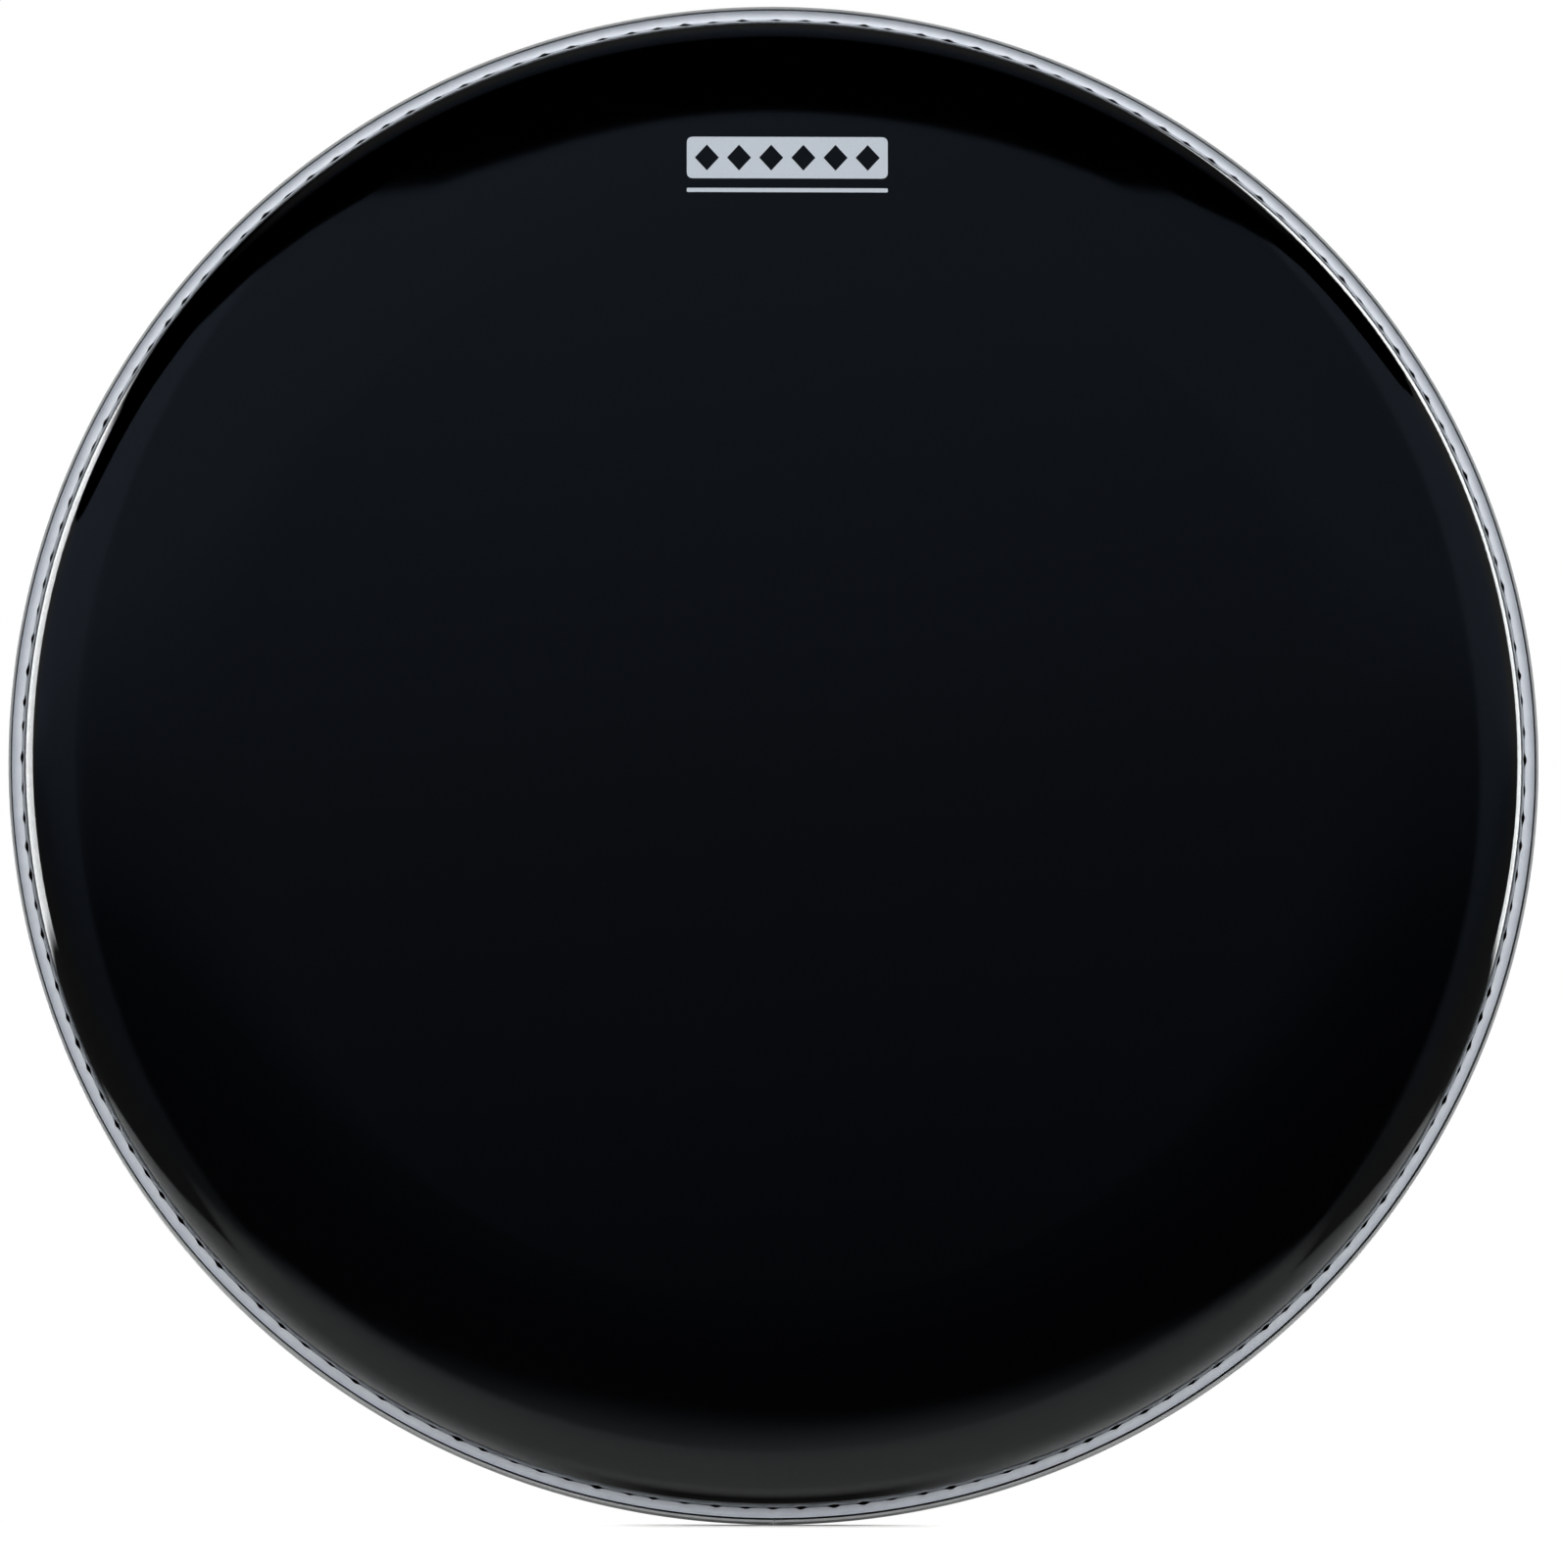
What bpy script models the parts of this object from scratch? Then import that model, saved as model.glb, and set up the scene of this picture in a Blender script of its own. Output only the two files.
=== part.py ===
"""Bass drum head for a 22-inch drum: two plies of polyester film, formed with a
collar, hooked into an aluminium channel hoop and locked there by poured resin.
Metres, +Z up. The head stands upright: its axis lies along Y and the playing
face looks towards -Y. The origin is the middle of the whole head.

Every ring is drawn as a section (radius, height), where height is measured
forwards from the front rim of the hoop, and is then turned about the axis."""

import math

import bmesh
import bpy

# Hoop: a channel, open to the front, rolled into a ring
HOOP_OUTER_RADIUS = 0.2885
HOOP_DEPTH = 0.0095
OUTER_WALL = 0.0010
WEB = 0.0012
INNER_WALL = 0.0012
INNER_WALL_SETBACK = 0.0018  # the inner wall stops this far behind the front rim
EDGE_BREAK = 0.00025
JOINT_WIDTH = 0.0003  # butt joint where the ends of the rolled channel meet
JOINT_ANGLE = math.radians(270)  # at the foot of the standing head

# Resin poured into the channel
RESIN_WIDTH = 0.0038
RESIN_RECESS = 0.0005  # its front face lies this far behind the front rim
RESIN_UNDER_HOOK = 0.0005

# Film: what each ply measures, and the shape that both are formed to
OUTER_PLY = 0.00019
INNER_PLY = 0.000165
HOOK_LENGTH = 0.0012
HOOK_RADIUS = 0.0009
SKIRT_BEND_RADIUS = 0.0012
COLLAR_WALL = 0.0006
COLLAR_WALL_TILT = math.radians(75)
COLLAR_RADIUS = 0.0125
SHOULDER_TILT = math.radians(6)
SHOULDER_RADIUS = 0.186
CROWN_TILT = math.radians(3)
CROWN_RADIUS = 1.055

# Printed mark near the top of the playing face: a band of diamonds and a line
INK = 0.0001
PRINT_FROM_RIM = 0.0605  # middle of the band below the top of the hoop
PRINT_OFFSET = 0.0048
BAND_LENGTH = 0.076
BAND_WIDTH = 0.016
BAND_CORNER = 0.002
DIAMOND_COUNT = 6
DIAMOND_BORDER = 0.003  # ink left round each diamond window
LINE_WIDTH = 0.0016
LINE_DROP = 0.0125  # middle of the line below the middle of the band

TOUCH_GAP = 0.0003  # left between two pieces that touch in the real head
TURN_STEPS = 72
CORNER_STEPS = 3

# Radii that follow, from the outside of the hoop inwards, and depths behind the rim
RESIN_OUTER_RADIUS = HOOP_OUTER_RADIUS - OUTER_WALL - TOUCH_GAP
FILM_RADIUS = RESIN_OUTER_RADIUS - RESIN_WIDTH - TOUCH_GAP
FILM_STACK = OUTER_PLY + TOUCH_GAP + INNER_PLY
INNER_WALL_RADIUS = FILM_RADIUS - FILM_STACK - TOUCH_GAP
HOOP_INNER_RADIUS = INNER_WALL_RADIUS - INNER_WALL
RESIN_DEPTH = HOOP_DEPTH - WEB - TOUCH_GAP
SLOT_DEPTH = RESIN_DEPTH - RESIN_UNDER_HOOK  # far side of the slot round the hook
HOOK_DEPTH = SLOT_DEPTH - TOUCH_GAP - FILM_STACK  # outer face of the hook
PRINT_HEIGHT = HOOP_OUTER_RADIUS - PRINT_FROM_RIM


class Pen:
    """Draws the outer face of the film from its hooked edge to the axis. The tilt
    is the angle between the face's normal and the head's axis."""

    def __init__(self, radius, height):
        self.radius, self.height, self.tilt = radius, height, 0.0
        self.stations = [(radius, height, 0.0)]

    def mark(self, radius, height, tilt):
        self.radius, self.height, self.tilt = radius, height, tilt
        self.stations.append((radius, height, tilt))

    def line(self, length):
        radius = self.radius - length * math.cos(self.tilt)
        height = self.height + length * math.sin(self.tilt)
        self.mark(radius, height, self.tilt)

    def bend(self, bend_radius, tilt, steps):
        """An arc to another tilt. The film turns away from its outer face, unless
        the tilt grows, as it does only at the hook."""
        side = 1 if tilt < self.tilt else -1
        start = self.tilt
        centre_radius = self.radius - side * bend_radius * math.sin(start)
        centre_height = self.height - side * bend_radius * math.cos(start)
        for step in range(1, steps + 1):
            angle = start + (tilt - start) * step / steps
            radius = centre_radius + side * bend_radius * math.sin(angle)
            height = centre_height + side * bend_radius * math.cos(angle)
            self.mark(radius, height, angle)


def film_stations():
    pen = Pen(FILM_RADIUS + HOOK_RADIUS + HOOK_LENGTH, -HOOK_DEPTH)
    pen.line(HOOK_LENGTH)
    pen.bend(HOOK_RADIUS, math.pi / 2, 3)
    pen.line(HOOK_DEPTH - HOOK_RADIUS)
    pen.bend(SKIRT_BEND_RADIUS, COLLAR_WALL_TILT, 1)
    pen.line(COLLAR_WALL)
    pen.bend(COLLAR_RADIUS, SHOULDER_TILT, 6)
    pen.bend(SHOULDER_RADIUS, CROWN_TILT, 1)
    pen.bend(CROWN_RADIUS, 0.0, 3)
    pen.line(pen.radius)
    return pen.stations


def film_face(depth):
    """The section of a face that lies a given depth under the film's outer face."""
    return [
        (max(radius - depth * math.sin(tilt), 0.0), height - depth * math.cos(tilt))
        for radius, height, tilt in film_stations()
    ]


PLAYING_FACE_HEIGHT = film_stations()[-1][1]
HEAD_DEPTH = HOOP_DEPTH + PLAYING_FACE_HEIGHT + TOUCH_GAP + INK


def add_collection(name):
    collection = bpy.data.collections.new(name)
    bpy.context.scene.collection.children.link(collection)
    return collection


def add_axis_frame(collection):
    """An empty whose Z runs forwards along the head's axis from the rim plane."""
    frame = bpy.data.objects.new("rim_plane", None)
    frame.location.y = HEAD_DEPTH / 2 - HOOP_DEPTH
    frame.rotation_euler.x = math.pi / 2
    collection.objects.link(frame)
    return frame


def add_object(name, data, material, collection, frame):
    obj = bpy.data.objects.new(name, data)
    obj.parent = frame
    data.materials.append(material)
    collection.objects.link(obj)
    return obj


def turned_section(name, points, closed, material, collection, frame):
    """A section turned about the axis. Its points run down the outer side, so that
    the faces look outwards."""
    mesh = bpy.data.meshes.new(name)
    count = len(points)
    edges = [(i, (i + 1) % count) for i in range(count if closed else count - 1)]
    mesh.from_pydata([(radius, 0.0, height) for radius, height in points], edges, [])
    obj = add_object(name, mesh, material, collection, frame)
    turn = obj.modifiers.new("turn", "SCREW")
    turn.steps = turn.render_steps = TURN_STEPS
    turn.use_merge_vertices = True
    turn.merge_threshold = 0.00001
    turn.use_smooth_shade = True
    return obj


def principled(name, colour, roughness, metallic=0.0, alpha=1.0):
    material = bpy.data.materials.new(name)
    material.use_nodes = True
    shader = material.node_tree.nodes["Principled BSDF"]
    shader.inputs["Base Color"].default_value = (*colour, 1.0)
    shader.inputs["Roughness"].default_value = roughness
    shader.inputs["Metallic"].default_value = metallic
    shader.inputs["Alpha"].default_value = alpha
    return material


def satin_aluminium():
    return principled("satin_aluminium", (0.62, 0.64, 0.66), 0.32, metallic=1.0)


def grey_resin():
    return principled("grey_resin", (0.52, 0.56, 0.60), 0.45)


def black_film():
    return principled("black_film", (0.004, 0.005, 0.006), 0.06)


def clear_film():
    return principled("clear_film", (0.75, 0.80, 0.82), 0.03, alpha=0.15)


def print_ink():
    return principled("print_ink", (0.46, 0.51, 0.58), 0.55)


def add_hoop(collection, cutters, frame):
    """The channel: outer wall with a broken front edge, web, and a shorter inner
    wall behind the film's skirt."""
    back = -HOOP_DEPTH
    channel_floor = back + WEB
    inner_top = -INNER_WALL_SETBACK
    channel_outer = HOOP_OUTER_RADIUS - OUTER_WALL
    points = [
        (channel_outer, -EDGE_BREAK),
        (channel_outer + EDGE_BREAK, 0.0),
        (HOOP_OUTER_RADIUS - EDGE_BREAK, 0.0),
        (HOOP_OUTER_RADIUS, -EDGE_BREAK),
        (HOOP_OUTER_RADIUS, back + EDGE_BREAK),
        (HOOP_OUTER_RADIUS - EDGE_BREAK, back),
        (HOOP_INNER_RADIUS + EDGE_BREAK, back),
        (HOOP_INNER_RADIUS, back + EDGE_BREAK),
        (HOOP_INNER_RADIUS, inner_top - EDGE_BREAK),
        (HOOP_INNER_RADIUS + EDGE_BREAK, inner_top),
        (INNER_WALL_RADIUS, inner_top),
        (INNER_WALL_RADIUS, channel_floor),
        (channel_outer, channel_floor),
    ]
    hoop = turned_section("flesh_hoop", points, True, satin_aluminium(), collection, frame)
    cut = hoop.modifiers.new("butt_joint", "BOOLEAN")
    cut.operation = "DIFFERENCE"
    cut.object = add_joint_cutter(cutters, frame)
    return hoop


def add_joint_cutter(cutters, frame):
    """A thin box across the channel's section, which leaves the butt joint."""
    overrun = 0.002
    section_width = HOOP_OUTER_RADIUS - HOOP_INNER_RADIUS
    middle = (HOOP_OUTER_RADIUS + HOOP_INNER_RADIUS) / 2
    bm = bmesh.new()
    bmesh.ops.create_cube(bm, size=1.0)
    size = (section_width + 2 * overrun, JOINT_WIDTH, HOOP_DEPTH + 2 * overrun)
    bmesh.ops.scale(bm, vec=size, verts=bm.verts)
    bmesh.ops.translate(bm, vec=(middle, 0.0, -HOOP_DEPTH / 2), verts=bm.verts)
    mesh = bpy.data.meshes.new("joint_cutter")
    bm.to_mesh(mesh)
    bm.free()
    cutter = bpy.data.objects.new("joint_cutter", mesh)
    cutter.parent = frame
    cutter.rotation_euler.z = JOINT_ANGLE
    cutter.hide_render = True
    cutter.display_type = "WIRE"
    cutters.objects.link(cutter)
    return cutter


def add_resin(collection, frame):
    """The resin fills the channel round the film's hook, and a slot in it holds
    the hook."""
    outer = RESIN_OUTER_RADIUS
    skirt_side = FILM_RADIUS + TOUCH_GAP
    slot_front = -HOOK_DEPTH + TOUCH_GAP
    slot_start = FILM_RADIUS + HOOK_RADIUS
    slot_end = slot_start + HOOK_LENGTH + TOUCH_GAP
    fillet = HOOK_RADIUS - TOUCH_GAP
    points = [
        (skirt_side, -RESIN_RECESS),
        (outer, -RESIN_RECESS),
        (outer, -RESIN_DEPTH),
        (slot_start, -RESIN_DEPTH),
        (slot_start, -SLOT_DEPTH),
        (slot_end, -SLOT_DEPTH),
        (slot_end, slot_front),
        (slot_start, slot_front),
        (skirt_side, slot_front + fillet),
    ]
    return turned_section("resin_fill", points, True, grey_resin(), collection, frame)


def add_ply(name, depth, thickness, material, collection, frame):
    """One ply of film, whose outer face lies a given depth under the playing face."""
    front = film_face(depth)[::-1]
    back = film_face(depth + thickness)
    return turned_section(name, front + back, False, material, collection, frame)


def rounded_rectangle(length, width, corner):
    points = []
    for quarter in range(4):
        across = 1 if quarter in (0, 3) else -1
        up = 1 if quarter in (0, 1) else -1
        for step in range(CORNER_STEPS + 1):
            angle = math.pi / 2 * (quarter + step / CORNER_STEPS)
            x = across * (length / 2 - corner) + corner * math.cos(angle)
            y = up * (width / 2 - corner) + corner * math.sin(angle)
            points.append((x, y))
    return points


def diamond_windows():
    """The windows in the band, a row of diamonds with ink left between them."""
    pitch = (BAND_LENGTH - DIAMOND_BORDER) / DIAMOND_COUNT
    half_length = (pitch - DIAMOND_BORDER) / 2
    half_width = BAND_WIDTH / 2 - DIAMOND_BORDER
    for index in range(DIAMOND_COUNT):
        middle = (index - (DIAMOND_COUNT - 1) / 2) * pitch
        yield [
            (middle + half_length, 0.0),
            (middle, half_width),
            (middle - half_length, 0.0),
            (middle, -half_width),
        ]


def flat_print(name, outlines, middle_height, material, collection, frame):
    """Ink laid on the playing face, as a filled flat outline of the ink's thickness."""
    curve = bpy.data.curves.new(name, "CURVE")
    curve.dimensions = "2D"
    curve.fill_mode = "BOTH"
    curve.extrude = INK / 2
    for outline in outlines:
        spline = curve.splines.new("POLY")
        spline.points.add(len(outline) - 1)
        for point, (x, y) in zip(spline.points, outline):
            point.co = (x, y, 0.0, 1.0)
        spline.use_cyclic_u = True
    obj = add_object(name, curve, material, collection, frame)
    height = PLAYING_FACE_HEIGHT + TOUCH_GAP + INK / 2
    obj.location = (PRINT_OFFSET, middle_height, height)
    return obj


def add_print(collection, frame):
    ink = print_ink()
    band = [rounded_rectangle(BAND_LENGTH, BAND_WIDTH, BAND_CORNER), *diamond_windows()]
    line = [rounded_rectangle(BAND_LENGTH, LINE_WIDTH, LINE_WIDTH / 4)]
    flat_print("print_band", band, PRINT_HEIGHT, ink, collection, frame)
    flat_print("print_line", line, PRINT_HEIGHT - LINE_DROP, ink, collection, frame)


def build():
    for obj in list(bpy.data.objects):
        bpy.data.objects.remove(obj, do_unlink=True)
    head = add_collection("bass_drum_head")
    cutters = add_collection("cutters")
    frame = add_axis_frame(head)
    add_hoop(head, cutters, frame)
    add_resin(head, frame)
    inner_depth = OUTER_PLY + TOUCH_GAP
    add_ply("black_inner_ply", inner_depth, INNER_PLY, black_film(), head, frame)
    add_ply("clear_outer_ply", 0.0, OUTER_PLY, clear_film(), head, frame)
    add_print(head, frame)


build()
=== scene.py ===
import math
import random

import bmesh
import bpy
from mathutils import Matrix, Vector


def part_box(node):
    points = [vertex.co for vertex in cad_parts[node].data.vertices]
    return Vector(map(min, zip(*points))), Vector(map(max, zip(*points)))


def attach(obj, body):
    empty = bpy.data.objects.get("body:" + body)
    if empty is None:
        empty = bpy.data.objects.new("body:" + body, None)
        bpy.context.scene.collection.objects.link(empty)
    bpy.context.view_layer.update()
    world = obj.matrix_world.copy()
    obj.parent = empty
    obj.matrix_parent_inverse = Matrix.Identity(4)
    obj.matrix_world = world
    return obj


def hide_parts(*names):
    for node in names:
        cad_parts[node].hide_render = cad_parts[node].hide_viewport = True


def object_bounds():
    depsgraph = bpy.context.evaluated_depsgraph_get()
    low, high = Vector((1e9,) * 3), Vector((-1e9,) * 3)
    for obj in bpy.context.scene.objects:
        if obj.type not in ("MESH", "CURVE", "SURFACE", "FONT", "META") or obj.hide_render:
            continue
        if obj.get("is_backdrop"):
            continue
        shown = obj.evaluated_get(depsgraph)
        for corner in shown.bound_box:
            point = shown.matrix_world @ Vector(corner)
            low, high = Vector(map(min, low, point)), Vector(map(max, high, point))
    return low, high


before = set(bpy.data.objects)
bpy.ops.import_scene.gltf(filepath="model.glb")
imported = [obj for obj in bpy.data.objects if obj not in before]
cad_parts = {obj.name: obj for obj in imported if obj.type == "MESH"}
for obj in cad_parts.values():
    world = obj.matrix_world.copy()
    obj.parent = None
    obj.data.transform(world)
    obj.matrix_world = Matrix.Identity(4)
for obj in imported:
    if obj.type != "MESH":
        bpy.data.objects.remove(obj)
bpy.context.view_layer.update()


# ---- Flesh hoop ----
# A channel of aluminium, extruded and then rolled into a ring. Its two ends meet
# in a butt joint at the foot. The bare metal keeps a grey satin from the rollers,
# with fine lines that run round the ring and a softly rounded front lip.

hoop_low, hoop_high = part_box("flesh_hoop")
rim_y = hoop_low.y
hoop_radius = hoop_high.x
hoop_depth = hoop_high.y - hoop_low.y
outer_wall = 0.001
inner_wall = 0.0012
web = 0.0012
inner_wall_setback = 0.0018
lip_round = 0.00042
lip_inner_round = 0.00015
edge_round = 0.00025
channel_gap = 0.0003
groove = 0.00038  # the dark line between the lip and the resin
resin_width = 0.0038
film_gap = 0.0003
skirt_stack = 0.000955  # both plies and the room between them and the inner wall
hairline = 0.00006

channel_outer = hoop_radius - outer_wall
film_radius = channel_outer - channel_gap - resin_width - film_gap
inner_wall_radius = film_radius - skirt_stack


def corner(radius, height, start, size, steps=4):
    """A rounded corner of a section, drawn clockwise about its own centre."""
    turns = [math.radians(start - 90 * step / steps) for step in range(steps + 1)]
    return [(radius + size * math.cos(t), height + size * math.sin(t)) for t in turns]


def section_loop(bm, points, closed=True):
    """A section's corners and edges. Each point gives the distance from the head's
    axis and the height in front of the hoop's rim."""
    verts = [bm.verts.new((radius, rim_y - height, 0.0)) for radius, height in points]
    ends = verts[1:] + verts[:1] if closed else verts[1:]
    return verts, [bm.edges.new(pair) for pair in zip(verts, ends)]


def turn(bm, geometry, steps, angle=math.tau):
    """Turns a section about the head's axis, which is the Y axis. One eighth is spun
    and then doubled three times, as a long spin is slow."""
    eighth = angle / 8
    bmesh.ops.spin(
        bm, geom=geometry, cent=(0, 0, 0), axis=(0, 1, 0), dvec=(0, 0, 0),
        angle=eighth, steps=steps // 8, use_merge=False, use_duplicate=False,
    )
    for eighths in (1, 2, 4):
        everything = bm.verts[:] + bm.edges[:] + bm.faces[:]
        copied = bmesh.ops.duplicate(bm, geom=everything)["geom"]
        moved = [part for part in copied if isinstance(part, bmesh.types.BMVert)]
        onwards = Matrix.Rotation(eighths * eighth, 3, "Y")
        bmesh.ops.rotate(bm, verts=moved, cent=(0, 0, 0), matrix=onwards)
    bmesh.ops.remove_doubles(bm, verts=bm.verts, dist=0.000002)


def piece(name, bm, material, stands_for):
    """Makes the object of a finished mesh, riding on the head in place of a node."""
    bmesh.ops.recalc_face_normals(bm, faces=bm.faces)
    mesh = bpy.data.meshes.new(name)
    bm.to_mesh(mesh)
    bm.free()
    mesh.materials.append(material)
    obj = bpy.data.objects.new(name, mesh)
    bpy.context.scene.collection.objects.link(obj)
    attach(obj, "root")
    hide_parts(stands_for)


def linear(hex_colour):
    """An sRGB hex colour as linear red, green, blue and alpha."""
    parts = [int(hex_colour[i : i + 2], 16) / 255 for i in (1, 3, 5)]
    return [c / 12.92 if c <= 0.04045 else ((c + 0.055) / 1.055) ** 2.4 for c in parts] + [1.0]


def new_material(name):
    """An empty material, with the shader that its nodes lead to."""
    material = bpy.data.materials.new(name)
    material.use_nodes = True
    return material, material.node_tree, material.node_tree.nodes["Principled BSDF"]


def node(tree, kind, inputs=None, **settings):
    """One node. The settings are its properties, and each input is given a value or
    the socket that feeds it."""
    made = tree.nodes.new(kind)
    for name, value in settings.items():
        setattr(made, name, value)
    for name, value in (inputs or {}).items():
        if isinstance(value, bpy.types.NodeSocket):
            tree.links.new(value, made.inputs[name])
        else:
            made.inputs[name].default_value = value
    return made


def blend_colours(tree, share, first, second):
    """A mix of two hex colours by a share from 0 to 1."""
    mix = node(tree, "ShaderNodeMix", {"Factor": share}, data_type="RGBA")
    mix.inputs["A"].default_value = linear(first)
    mix.inputs["B"].default_value = linear(second)
    return mix.outputs["Result"]


def turned_place(tree):
    """A point's distance from the axis and its depth, as a vector in metres, so that
    a pattern on it runs round the ring."""
    place = node(tree, "ShaderNodeTexCoord").outputs["Object"]
    parts = node(tree, "ShaderNodeSeparateXYZ", {"Vector": place})
    flat = node(tree, "ShaderNodeCombineXYZ", {"X": parts.outputs["X"], "Y": parts.outputs["Z"]})
    out = node(tree, "ShaderNodeVectorMath", {0: flat.outputs["Vector"]}, operation="LENGTH")
    ring = {"X": out.outputs["Value"], "Y": parts.outputs["Y"]}
    return place, node(tree, "ShaderNodeCombineXYZ", ring).outputs["Vector"]


def rolled_aluminium():
    """Rolled aluminium with its pale oxide skin, which hides half of the metal's
    shine: fine lines 0.15 mm apart round the ring, and faint cloudy patches."""
    material, tree, shader = new_material("rolled_aluminium")
    place, ring = turned_place(tree)
    lines = node(tree, "ShaderNodeTexNoise", {"Vector": ring, "Scale": 6500.0, "Detail": 1.0})
    cloud = node(tree, "ShaderNodeTexNoise", {"Vector": place, "Scale": 60.0, "Detail": 3.0})
    tone = blend_colours(tree, cloud.outputs["Fac"], "#b6b8ba", "#cacccd")
    tree.links.new(tone, shader.inputs["Base Color"])
    rough = node(
        tree, "ShaderNodeMapRange",
        {"Value": lines.outputs["Fac"], "To Min": 0.36, "To Max": 0.5},
    )
    tree.links.new(rough.outputs["Result"], shader.inputs["Roughness"])
    grain = node(
        tree, "ShaderNodeBump",
        {"Height": lines.outputs["Fac"], "Strength": 0.25, "Distance": 0.00002},
    )
    tree.links.new(grain.outputs["Normal"], shader.inputs["Normal"])
    shader.inputs["Metallic"].default_value = 0.45
    return material


hoop_inner_radius = inner_wall_radius - inner_wall
hoop_points = [
    *corner(channel_outer + lip_inner_round, -lip_inner_round, 180, lip_inner_round),
    *corner(hoop_radius - lip_round, -lip_round, 90, lip_round),
    *corner(hoop_radius - edge_round, edge_round - hoop_depth, 0, edge_round),
    *corner(hoop_inner_radius + edge_round, edge_round - hoop_depth, -90, edge_round),
    *corner(hoop_inner_radius + edge_round, -inner_wall_setback - edge_round, 180, edge_round),
    (inner_wall_radius, -inner_wall_setback),
    (inner_wall_radius, web - hoop_depth),
    (channel_outer, web - hoop_depth),
]
bm = bmesh.new()
verts, edges = section_loop(bm, hoop_points)
joint = hairline / hoop_radius
foot = Matrix.Rotation(math.radians(90) + joint / 2, 3, "Y")
bmesh.ops.rotate(bm, verts=verts, cent=(0, 0, 0), matrix=foot)
turn(bm, verts + edges, 720, math.tau - joint)
bmesh.ops.holes_fill(bm, edges=[e for e in bm.edges if e.is_boundary], sides=0)
for face in bm.faces:
    face.smooth = True
piece("hoop_channel", bm, rolled_aluminium(), "flesh_hoop")


# ---- Film shape ----
# Both plies are pressed to one shape while warm: a hooked edge, a skirt that goes
# down into the hoop, a collar that turns in a tight arc, and a nearly flat face.
# Where the film leaves the resin it is drawn into small flutes all round.

hook_length = 0.0012
hook_radius = 0.0009
hook_depth = 0.006545
skirt_bend = 0.0012
wall_tilt = math.radians(75)
wall_length = 0.0006
collar_radius = 0.0125
shoulder_tilt = math.radians(6)
shoulder_radius = 0.186
crown_tilt = math.radians(3)
crown_radius = 1.055
flute_count = 160
flute_depth = 0.00045
flute_reach = 0.003  # how far up the collar the flutes fade out
ring_steps = 8 * flute_count

dice = random.Random(22)
flute_sizes = [dice.uniform(0.55, 1.2) for flute in range(flute_count)]
flute_shifts = [dice.uniform(-0.12, 0.12) for flute in range(flute_count)]


def film_stations():
    """The film's outer face as (radius, height, tilt), from the hook to the middle.
    The tilt is the angle between the face's normal and the head's axis."""
    tilt = 0.0
    stations = [(film_radius + hook_radius + hook_length, -hook_depth, tilt)]

    def line(length, steps=1):
        for step in range(steps):
            radius, height, tilt = stations[-1]
            run = length / steps
            stations.append((radius - run * math.cos(tilt), height + run * math.sin(tilt), tilt))

    def bend(size, end, steps):
        radius, height, start = stations[-1]
        side = 1 if end < start else -1
        for step in range(1, steps + 1):
            now = start + (end - start) * step / steps
            across = side * size * (math.sin(now) - math.sin(start))
            along = side * size * (math.cos(now) - math.cos(start))
            stations.append((radius + across, height + along, now))

    line(hook_length)
    bend(hook_radius, math.pi / 2, 3)
    line(hook_depth - hook_radius, 3)
    bend(skirt_bend, wall_tilt, 2)
    line(wall_length)
    bend(collar_radius, shoulder_tilt, 13)
    bend(shoulder_radius, crown_tilt, 3)
    bend(crown_radius, 0.0, 5)
    return stations


def flute(angle):
    """How far the film stands in from the resin at an angle round the head, from 0
    where it touches to about 1 at the middle of a flute."""
    turns = angle / math.tau * flute_count
    near = round(turns) % flute_count
    off = turns - round(turns)
    place = off + flute_shifts[near] * math.cos(math.pi * off) ** 2
    return flute_sizes[near] * (0.5 + 0.5 * math.cos(math.tau * place)) ** 4


def sway(angle):
    """Slow unevenness of the formed face, in metres, which bends what it mirrors."""
    waves = ((3, 0.4, 1.0), (5, 1.9, 0.8), (8, 2.6, 0.45), (12, 0.9, 0.22))
    return 0.00004 * sum(size * math.cos(count * angle + start) for count, start, size in waves)


def film_offset(radius, height, angle):
    """How far a point of the film moves inwards along its normal."""
    fluted = max(0.0, 1.0 - max(height, 0.0) / flute_reach) ** 2
    swayed = math.exp(-(((radius - 0.255) / 0.014) ** 2))
    return flute_depth * fluted * flute(angle) + swayed * sway(angle)


def film_ply(depth, thickness):
    """One ply as a closed shell, a given depth under the outer face."""
    bm = bmesh.new()
    tilt_layer = bm.verts.layers.float.new("tilt")
    height_layer = bm.verts.layers.float.new("height")
    shape = film_stations()
    faces = ((depth, shape[::-1]), (depth + thickness, shape))
    points, marks = [], []
    for under, stations in faces:
        for radius, height, tilt in stations:
            points.append((radius - under * math.sin(tilt), height - under * math.cos(tilt)))
            marks.append((tilt, height))
    verts, edges = section_loop(bm, points, closed=False)
    for vert, (tilt, height) in zip(verts, marks):
        vert[tilt_layer] = tilt
        vert[height_layer] = height
    turn(bm, verts + edges, ring_steps)
    for vert in bm.verts:
        angle = math.atan2(vert.co.z, vert.co.x)
        radius = math.hypot(vert.co.x, vert.co.z)
        move = film_offset(radius, vert[height_layer], angle)
        inwards = 1 - move * math.sin(vert[tilt_layer]) / radius
        vert.co.x *= inwards
        vert.co.z *= inwards
        vert.co.y += move * math.cos(vert[tilt_layer])
    for face in bm.faces:
        face.smooth = True
    middle = bmesh.ops.holes_fill(bm, edges=[e for e in bm.edges if e.is_boundary], sides=0)
    for face in middle["faces"]:
        face.smooth = False
    return bm


# ---- Black inner ply ----
# Polyester film 0.165 mm thick, dyed and coated an opaque gloss black. It shows
# through the clear ply in front of it, and its bare back shows from behind.

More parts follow.
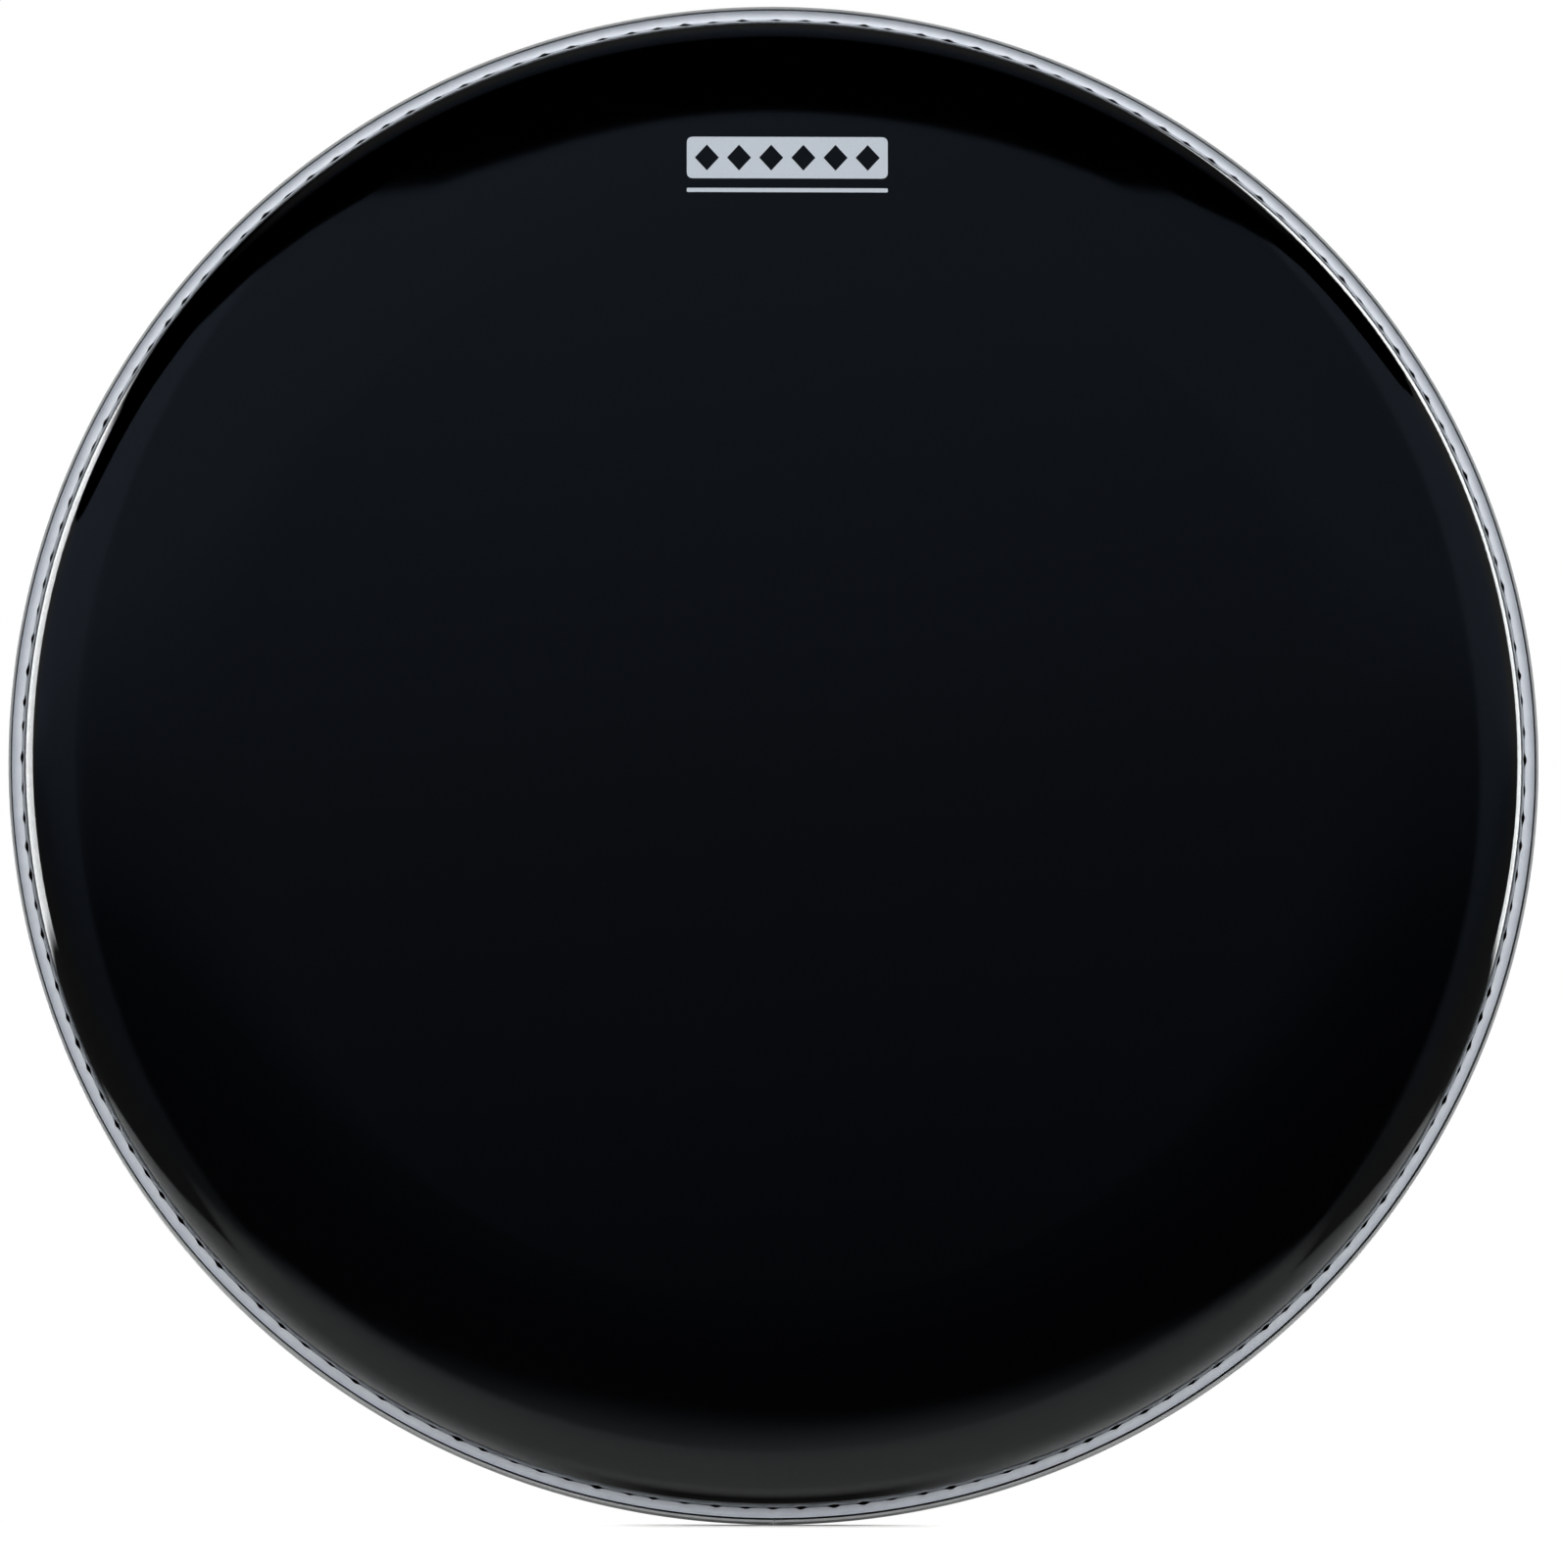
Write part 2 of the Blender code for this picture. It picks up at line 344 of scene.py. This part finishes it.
outer_ply = 0.00019
ply_room = 0.00005
inner_ply = 0.000165


def black_polyester():
    """Opaque black polyester film: deep gloss, with a few grains of dust 0.4 mm
    across and a faint unevenness of the coat."""
    material, tree, shader = new_material("black_polyester")
    place = node(tree, "ShaderNodeTexCoord").outputs["Object"]
    coat = node(tree, "ShaderNodeTexNoise", {"Vector": place, "Scale": 9.0, "Detail": 3.0})
    tone = blend_colours(tree, coat.outputs["Fac"], "#010101", "#030304")
    cells = node(tree, "ShaderNodeTexVoronoi", {"Vector": place, "Scale": 70.0})
    grain = node(
        tree, "ShaderNodeMapRange",
        {"Value": cells.outputs["Distance"], "From Min": 0.012, "From Max": 0.028,
         "To Min": 1.0, "To Max": 0.0},
    )
    dust = node(tree, "ShaderNodeMix", {"Factor": grain.outputs["Result"]}, data_type="RGBA")
    tree.links.new(tone, dust.inputs["A"])
    dust.inputs["B"].default_value = linear("#101113")
    tree.links.new(dust.outputs["Result"], shader.inputs["Base Color"])
    shader.inputs["Roughness"].default_value = 0.04
    shader.inputs["IOR"].default_value = 1.6
    return material


piece(
    "black_ply", film_ply(outer_ply + ply_room, inner_ply), black_polyester(),
    "black_inner_ply",
)


# ---- Clear outer ply ----
# Clear polyester film 0.19 mm thick, which takes the stroke. It makes the face
# wet-looking and carries the print.


def clear_polyester():
    """Clear polyester film: hardly any colour, and a mirror gloss front and back."""
    material, tree, shader = new_material("clear_polyester")
    place = node(tree, "ShaderNodeTexCoord").outputs["Object"]
    haze = node(tree, "ShaderNodeTexNoise", {"Vector": place, "Scale": 25.0, "Detail": 2.0})
    rough = node(
        tree, "ShaderNodeMapRange",
        {"Value": haze.outputs["Fac"], "To Min": 0.008, "To Max": 0.03},
    )
    tree.links.new(rough.outputs["Result"], shader.inputs["Roughness"])
    shader.inputs["Base Color"].default_value = linear("#f4f7f8")
    shader.inputs["Transmission Weight"].default_value = 1.0
    shader.inputs["IOR"].default_value = 1.5
    return material


piece(
    "clear_ply", film_ply(0.0, outer_ply), clear_polyester(), "clear_outer_ply"
)


# ---- Resin ----
# Light grey casting resin, poured into the channel round the hooked film. Its
# surface sags a little between the lip and the film, and it has drawn back from
# the film at each flute, which leaves a row of small gaps, with painted shade deep in them.

resin_low = 0.0013  # how far behind the rim the lowest part of the surface is
resin_climb = 0.00012  # and where it has crept up the film
resin_trough = 0.65  # where the lowest part is, as a share of the way to the lip
resin_floor = hoop_depth - web - channel_gap
resin_under_hook = 0.0005
slot_far = resin_floor - resin_under_hook
gap_depth = 0.00065  # how far the resin has drawn back at the middle of a flute
gap_reach = 0.0012
shrinkage = 0.00044  # how much wider the groove by the lip is where it is widest
widest = math.radians(-70)
film_clearance = 0.00008
resin_side = film_radius + film_clearance
resin_outer = channel_outer - groove
lip_shade_width = 0.0026  # how far from the lip the painted shade of the lip reaches
gap_shade_start = 0.0014  # how far behind the rim the painted shade in the gaps begins
gap_shade_end = 0.0022


def cast_resin():
    """Grey casting resin: pale grey, with painted shade towards the lip and painted shade deep
    in the gaps, softly clouded at about 6 mm, with a skin gloss and 0.3 mm pits."""
    material, tree, shader = new_material("cast_resin")
    place, ring = turned_place(tree)
    cloud = node(tree, "ShaderNodeTexNoise", {"Vector": place, "Scale": 160.0, "Detail": 3.0})
    tone = blend_colours(tree, cloud.outputs["Fac"], "#c4cad4", "#dde2ea")
    radius = node(tree, "ShaderNodeSeparateXYZ", {"Vector": ring}).outputs["X"]
    # Painted shade: the resin is coloured darker towards the lip, standing in for the lip's
    # shade.
    from_lip = node(
        tree, "ShaderNodeMapRange",
        {"Value": radius, "From Min": resin_outer, "From Max": resin_outer - lip_shade_width},
    )
    lip_shade = blend_colours(tree, from_lip.outputs["Result"], "#d2d4d8", "#ffffff")
    tone_with_lip_shade = node(tree, "ShaderNodeMix", {"Factor": 1.0}, data_type="RGBA", blend_type="MULTIPLY")
    tree.links.new(tone, tone_with_lip_shade.inputs["A"])
    tree.links.new(lip_shade, tone_with_lip_shade.inputs["B"])
    # Painted shade: deep behind the rim, in the gaps under the flutes, the resin is coloured near
    # black.
    depth = node(tree, "ShaderNodeSeparateXYZ", {"Vector": ring}).outputs["Y"]
    gap_shade_mask = node(
        tree, "ShaderNodeMapRange",
        {"Value": depth, "From Min": rim_y + gap_shade_start, "From Max": rim_y + gap_shade_end},
    )
    gap_shaded = node(tree, "ShaderNodeMix", {"Factor": gap_shade_mask.outputs["Result"]}, data_type="RGBA")
    tree.links.new(tone_with_lip_shade.outputs["Result"], gap_shaded.inputs["A"])
    gap_shaded.inputs["B"].default_value = linear("#1c1e21")
    tree.links.new(gap_shaded.outputs["Result"], shader.inputs["Base Color"])
    pits = node(tree, "ShaderNodeTexNoise", {"Vector": place, "Scale": 2600.0, "Detail": 2.0})
    skin = node(
        tree, "ShaderNodeBump",
        {"Height": pits.outputs["Fac"], "Strength": 0.3, "Distance": 0.00004},
    )
    tree.links.new(skin.outputs["Normal"], shader.inputs["Normal"])
    shader.inputs["Roughness"].default_value = 0.34
    shader.inputs["IOR"].default_value = 1.5
    return material


def resin_top():
    """The poured surface from the film out to the lip, as a shallow sagging curve."""
    steps = 10
    for step in range(steps + 1):
        share = step / steps
        radius = resin_side + share * (resin_outer - resin_side)
        drop = 1 - (share / resin_trough - 1) ** 2
        yield radius, -resin_climb - (resin_low - resin_climb) * drop


slot_start = film_radius + hook_radius
slot_end = slot_start + hook_length + film_gap
slot_near = hook_depth - film_gap
resin_points = [
    *resin_top(),
    (resin_outer, -resin_floor),
    (slot_start, -resin_floor),
    (slot_start, -slot_far),
    (slot_end, -slot_far),
    (slot_end, -slot_near),
    (slot_start, -slot_near),
    (resin_side, hook_radius - film_gap - slot_near),
]
bm = bmesh.new()
verts, edges = section_loop(bm, resin_points)
turn(bm, verts + edges, 2 * ring_steps)
for vert in bm.verts:
    radius = math.hypot(vert.co.x, vert.co.z)
    angle = math.atan2(vert.co.z, vert.co.x)
    out = 0.0
    if radius < resin_side + gap_reach:
        out = gap_depth * flute(angle) * (1 - max(radius - resin_side, 0.0) / gap_reach)
    elif radius > resin_outer - 0.00001:
        out = -shrinkage * (0.5 + 0.5 * math.cos(angle - widest)) ** 2
    vert.co.x *= 1 + out / radius
    vert.co.z *= 1 + out / radius
for face in bm.faces:
    face.smooth = True
piece("resin_bead", bm, cast_resin(), "resin_fill")


# ---- Print ----
# Pale grey screen ink on the clear ply near the top of the face: a band with a row
# of diamond windows, and a thin line under it. A plain pattern of no one's.

ink_lift = 0.00001
ink_thickness = 0.00005
ink_grid = 0.004


def screen_ink():
    """Screen ink: matt pale grey, with the mesh's faint unevenness at 0.5 mm."""
    material, tree, shader = new_material("screen_ink")
    place = node(tree, "ShaderNodeTexCoord").outputs["Object"]
    mesh_marks = node(
        tree, "ShaderNodeTexNoise", {"Vector": place, "Scale": 1900.0, "Detail": 1.0}
    )
    tone = blend_colours(tree, mesh_marks.outputs["Fac"], "#acb4be", "#bcc4ce")
    tree.links.new(tone, shader.inputs["Base Color"])
    shader.inputs["Roughness"].default_value = 0.5
    return material


def film_height(radius):
    """The height of the playing face in front of the rim, at a distance from the axis."""
    stations = film_stations()
    for outer, inner in zip(stations, stations[1:]):
        if inner[0] <= radius <= outer[0] and outer[1] > 0:
            share = (radius - inner[0]) / (outer[0] - inner[0])
            return inner[1] + share * (outer[1] - inner[1])
    return stations[-1][1]


ink = screen_ink()
for name in ("print_band", "print_line"):
    bm = bmesh.new()
    bm.from_mesh(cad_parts[name].data)
    bmesh.ops.remove_doubles(bm, verts=bm.verts, dist=0.00001)
    low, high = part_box(name)
    for axis, start, end in ((0, low.x, high.x), (2, low.z, high.z)):
        steps = max(1, round((end - start) / ink_grid))
        for step in range(1, steps):
            at, across = [0.0] * 3, [0.0] * 3
            at[axis] = start + (end - start) * step / steps
            across[axis] = 1.0
            everything = bm.verts[:] + bm.edges[:] + bm.faces[:]
            bmesh.ops.bisect_plane(bm, geom=everything, plane_co=at, plane_no=across, dist=1e-7)
    for vert in bm.verts:
        radius = math.hypot(vert.co.x, vert.co.z)
        height = film_height(radius)
        height -= film_offset(radius, height, math.atan2(vert.co.z, vert.co.x))
        front = vert.co.y < (low.y + high.y) / 2
        vert.co.y = rim_y - height - ink_lift - (ink_thickness if front else 0.0)
    piece(name.replace("print", "ink"), bm, ink, name)


# ---- Paper floor ----
# A sheet of white paper. The head's rear edge stands at the end of the level part,
# and from there the paper falls gently away to the front. It is left out of what
# the film mirrors, and throws back less light than it shows.

fall = math.radians(10.5)
level_end = hoop_high.y - 0.0003
fall_round = 0.02
paper_room = 0.00002  # between the foot of the hoop and the paper
paper_behind = 3.0
paper_ahead = 9
paper_half_width = 6.0
paper = [(paper_behind, 0.0), (level_end, 0.0)]
for step in range(1, 9):
    lean = fall * step / 8
    drop = fall_round * (math.cos(lean) - 1)
    paper.append((level_end - fall_round * math.sin(lean), drop))
last_y, last_z = paper[-1]
paper.append((last_y - paper_ahead * math.cos(fall), last_z - paper_ahead * math.sin(fall)))
bm = bmesh.new()
verts = [
    bm.verts.new((-paper_half_width, y, -hoop_radius - paper_room + z)) for y, z in paper
]
edges = [bm.edges.new(pair) for pair in zip(verts, verts[1:])]
wide = bmesh.ops.extrude_edge_only(bm, edges=edges)["geom"]
across = [v for v in wide if isinstance(v, bmesh.types.BMVert)]
bmesh.ops.translate(bm, verts=across, vec=(2 * paper_half_width, 0.0, 0.0))
bmesh.ops.recalc_face_normals(bm, faces=bm.faces)
mesh = bpy.data.meshes.new("paper_floor")
for face in bm.faces:
    face.smooth = True
bm.to_mesh(mesh)
bm.free()
# White uncoated paper: no gloss, with a fibre tone that shifts over 3 mm.
material, tree, shader = new_material("white_paper")
place = node(tree, "ShaderNodeTexCoord").outputs["Object"]
fibre = node(tree, "ShaderNodeTexNoise", {"Vector": place, "Scale": 300.0, "Detail": 2.0})
paper_tone = blend_colours(tree, fibre.outputs["Fac"], "#f6f6f5", "#fafaf9")
in_view = node(tree, "ShaderNodeLightPath").outputs["Is Camera Ray"]
dimmed = node(tree, "ShaderNodeMix", {"Factor": in_view}, data_type="RGBA")
dimmed.inputs["A"].default_value = linear("#90908e")
tree.links.new(paper_tone, dimmed.inputs["B"])
tree.links.new(dimmed.outputs["Result"], shader.inputs["Base Color"])
shader.inputs["Roughness"].default_value = 0.9
shader.inputs["Specular IOR Level"].default_value = 0.0
mesh.materials.append(material)
floor = bpy.data.objects.new("paper_floor", mesh)
bpy.context.scene.collection.objects.link(floor)
floor.visible_glossy = False
floor.visible_transmission = False
floor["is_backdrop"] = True


# ---- Studio ----
# A dark room with a white wall of light behind the head at each side, a dim
# glow in front and the white paper below. What the glossy film mirrors is given by
# direction, in degrees: across is to the right of straight ahead, up is above level.

world = bpy.data.worlds.new("studio")
bpy.context.scene.world = world
world.use_nodes = True
world.cycles.sampling_method = "NONE"
tree = world.node_tree
tree.nodes.clear()


def maths(operation, first, second=0.0, third=0.0):
    """A sum on sockets or numbers. Only MULTIPLY_ADD reads the third."""
    inputs = {0: first, 1: second}
    if operation == "MULTIPLY_ADD":
        inputs[2] = third
    return node(tree, "ShaderNodeMath", inputs, operation=operation).outputs["Value"]


def soft_step(value, start, end, low=0.0, high=1.0):
    """A smooth change from low to high as the value goes from start to end."""
    inputs = {"Value": value, "From Min": start, "From Max": end, "To Min": low, "To Max": high}
    settings = {"interpolation_type": "SMOOTHSTEP"}
    return node(tree, "ShaderNodeMapRange", inputs, **settings).outputs["Result"]


def profile(value, stops):
    """A curve through stops of (degrees, level), straight between them."""
    level = stops[0][1]
    for (start, low), (end, high) in zip(stops, stops[1:]):
        step = node(
            tree, "ShaderNodeMapRange",
            {"Value": value, "From Min": start, "From Max": end, "To Max": high - low},
        ).outputs["Result"]
        level = maths("ADD", step, level)
    return level


direction = node(tree, "ShaderNodeTexCoord").outputs["Generated"]
parts = node(tree, "ShaderNodeSeparateXYZ", {"Vector": direction}).outputs
ahead = maths("MULTIPLY", parts["Y"], -1.0)
to_degrees = 180 / math.pi
up = maths("MULTIPLY", maths("ARCSINE", parts["Z"]), to_degrees)
across = maths("MULTIPLY", maths("ARCTAN2", parts["X"], ahead), to_degrees)
aside = maths("ABSOLUTE", across)

room_strength = 1.3
wall_strength = 9.0
mirror_strength = 0.483
foot_shade = 0.95  # how much less light comes from behind, low down

glow = profile(up, [(0, 0.012), (4, 0.014), (5.9, 0.025), (8, 0.063), (10, 0.115), (14, 0.13)])
glow = maths("MULTIPLY", glow, profile(across, [(-6, 1.0), (-1, 1.0), (3, 0.85), (8, 0.75)]))
left_side = maths("MULTIPLY", soft_step(across, -9, -7.4, 1.0, 0.0), 0.05)
right_side = maths("MULTIPLY", soft_step(across, 10.5, 12.5), 0.065)
room = maths("ADD", glow, maths("ADD", left_side, right_side))
room = maths("MULTIPLY", room, room_strength)
left_dark = profile(across, [(-94, 28), (-57, 24), (-20, 20), (-6, 15.8), (-3, 14.5), (0, 14.5)])
right_dark = profile(across, [(0, 0), (5, 0), (20, 10), (60, 19), (93, 23)])
dark_from = maths("ADD", left_dark, right_dark)
below_dark = soft_step(maths("SUBTRACT", up, dark_from), 0.0, 0.35, 1.0, 0.0)
room = maths("MULTIPLY", room, below_dark)
overhead = profile(up, [(48, 0.0), (56, 0.07), (90, 0.16)])
paper_edge = profile(
    aside,
    [(6, 1.3), (12, -0.5), (33, -19), (57, -25), (73, -25), (87, -22), (98, -19.5), (110, -17)],
)
on_paper = soft_step(maths("SUBTRACT", paper_edge, up), 0.0, 3.0)
paper_light = maths(
    "ADD",
    profile(up, [(-30, 0.46), (-4, 0.42), (0.5, 0.3)]),
    profile(parts["Y"], [(-0.7, 0.0), (-0.26, 0.3), (0.09, 0.62), (0.45, 0.8)]),
)
straight_back = soft_step(maths("ABSOLUTE", parts["X"]), 0.12, 0.5, 1.0, 0.0)
low_down = maths(
    "MULTIPLY", soft_step(parts["Y"], -0.6, 0.1), soft_step(parts["Z"], 0.0, 0.06, 1.0, 0.0)
)
at_foot = maths("MULTIPLY", straight_back, low_down)
off_paper = maths("SUBTRACT", 1.0, on_paper)
light = maths(
    "ADD",
    maths("MULTIPLY", maths("ADD", room, overhead), off_paper),
    maths("MULTIPLY", on_paper, paper_light),
)
right_wall = maths(
    "MULTIPLY",
    soft_step(maths("MULTIPLY_ADD", up, -0.3, across), 96, 98),
    maths("MULTIPLY", soft_step(up, -8, -4), soft_step(up, 44, 52, 1.0, 0.0)),
)
left_wall = maths(
    "MULTIPLY",
    soft_step(maths("MULTIPLY_ADD", up, 0.3, across), -83, -80, 1.0, 0.0),
    maths("MULTIPLY", soft_step(up, -8, -4), soft_step(up, 30, 36, 1.0, 0.0)),
)
wall = maths("MULTIPLY", maths("ADD", right_wall, left_wall), wall_strength)
mirrored = maths("MULTIPLY", maths("MAXIMUM", light, wall), mirror_strength)
mirrored = maths("MULTIPLY", mirrored, maths("MULTIPLY_ADD", at_foot, -foot_shade, 1.0))
tint = node(tree, "ShaderNodeMix", {"Factor": soft_step(up, -4, 6)}, data_type="RGBA")
tint.inputs["A"].default_value = (0.98, 1.0, 0.98, 1.0)
tint.inputs["B"].default_value = (0.8, 0.98, 1.3, 1.0)
plain = node(tree, "ShaderNodeMix", {"Factor": soft_step(aside, 60, 75)}, data_type="RGBA")
tree.links.new(tint.outputs["Result"], plain.inputs["A"])
plain.inputs["B"].default_value = (1.0, 1.0, 1.0, 1.0)
glossy = node(
    tree, "ShaderNodeBackground", {"Color": plain.outputs["Result"], "Strength": mirrored}
)

# What lights matt surfaces: soft, mostly from above and behind, a little from the right.
spread = profile(parts["Z"], [(0.0, 0.1), (0.12, 1.2), (0.4, 2.3), (1.0, 1.7)])
spread = maths("ADD", spread, profile(parts["Y"], [(-0.3, 0.0), (0.3, 0.6)]))
spread = maths("MULTIPLY_ADD", parts["X"], 0.15, spread)
soft = node(tree, "ShaderNodeBackground", {"Color": (1.0, 1.0, 1.0, 1.0), "Strength": spread})
white = node(tree, "ShaderNodeBackground", {"Color": (1.0, 1.0, 1.0, 1.0), "Strength": 1.0})
rays = node(tree, "ShaderNodeLightPath").outputs
lit = node(tree, "ShaderNodeMixShader", {"Fac": rays["Is Diffuse Ray"]})
tree.links.new(glossy.outputs["Background"], lit.inputs[1])
tree.links.new(soft.outputs["Background"], lit.inputs[2])
seen = node(tree, "ShaderNodeMixShader", {"Fac": rays["Is Camera Ray"]})
tree.links.new(lit.outputs["Shader"], seen.inputs[1])
tree.links.new(white.outputs["Background"], seen.inputs[2])
output = node(tree, "ShaderNodeOutputWorld")
tree.links.new(seen.outputs["Shader"], output.inputs["Surface"])

bpy.context.scene.view_settings.view_transform = "Standard"


# ---- Camera ----
# A long lens, well back from the head, a little below its axis and to its left.

distance = 5.6
below = math.radians(8.0)
leftwards = math.radians(0.9)
aim = Vector((0.0028, rim_y, -0.00948))
backwards = Vector((
    -math.sin(leftwards) * math.cos(below),
    -math.cos(leftwards) * math.cos(below),
    -math.sin(below),
))
camera_data = bpy.data.cameras.new("camera")
camera_data.sensor_fit = "HORIZONTAL"
camera_data.sensor_width = 36.0
camera_data.lens = 342.35
camera_data.clip_end = 50.0
camera = bpy.data.objects.new("camera", camera_data)
camera.location = aim + distance * backwards
camera.rotation_euler = backwards.to_track_quat("Z", "Y").to_euler()
bpy.context.scene.collection.objects.link(camera)
bpy.context.scene.camera = camera

low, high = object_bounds()
